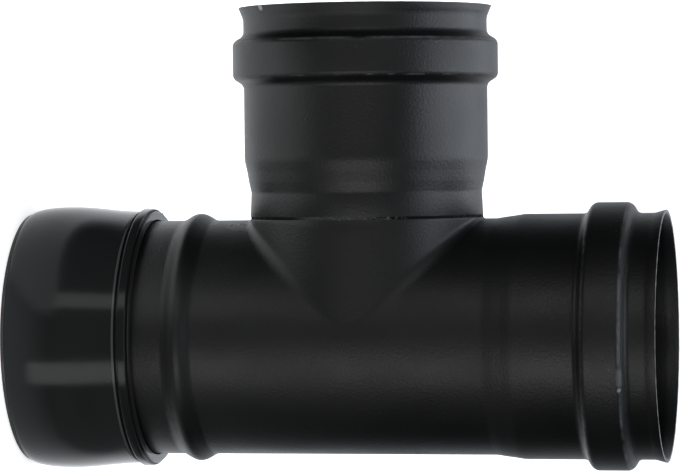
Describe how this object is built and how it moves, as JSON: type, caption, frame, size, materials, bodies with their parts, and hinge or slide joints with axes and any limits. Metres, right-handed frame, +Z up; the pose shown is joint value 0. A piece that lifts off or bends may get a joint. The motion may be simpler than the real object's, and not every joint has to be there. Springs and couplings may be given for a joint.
{
  "type": "flue pipe tee",
  "caption": "Single-wall flue pipe tee of formed sheet steel: a straight run and a side branch with sealed push-fit sockets, and a barrel-shaped push-on cap closing the lower end.",
  "frame": {"origin": "centre of the cap's flat end, on the floor that the tee stands on", "axes": "+Z up the run pipe to its socket, +X out along the side branch"},
  "size_m": [0.1573, 0.0902, 0.2197],
  "materials": {
    "pipe_paint": "matte black heat-resistant paint with a fine grain",
    "weld_seam": "painted weld seam",
    "socket_seal": "silicone, matte black",
    "cap_paint": "smooth semi-gloss black",
    "cap_seal": "silicone, satin black"
  },
  "bodies": {
    "cap": {"cap_shell": "cap_paint", "cap_seal": "cap_seal"},
    "tee": {"run_pipe": "pipe_paint", "branch_socket": "pipe_paint", "branch_weld": "weld_seam", "run_seal": "socket_seal", "branch_seal": "socket_seal"}
  },
  "joints": [
    {"name": "cap_release", "type": "slide", "parent": "cap", "child": "tee", "axis": [0, 0, 1], "range_m": [0, 0.045]}
  ]
}
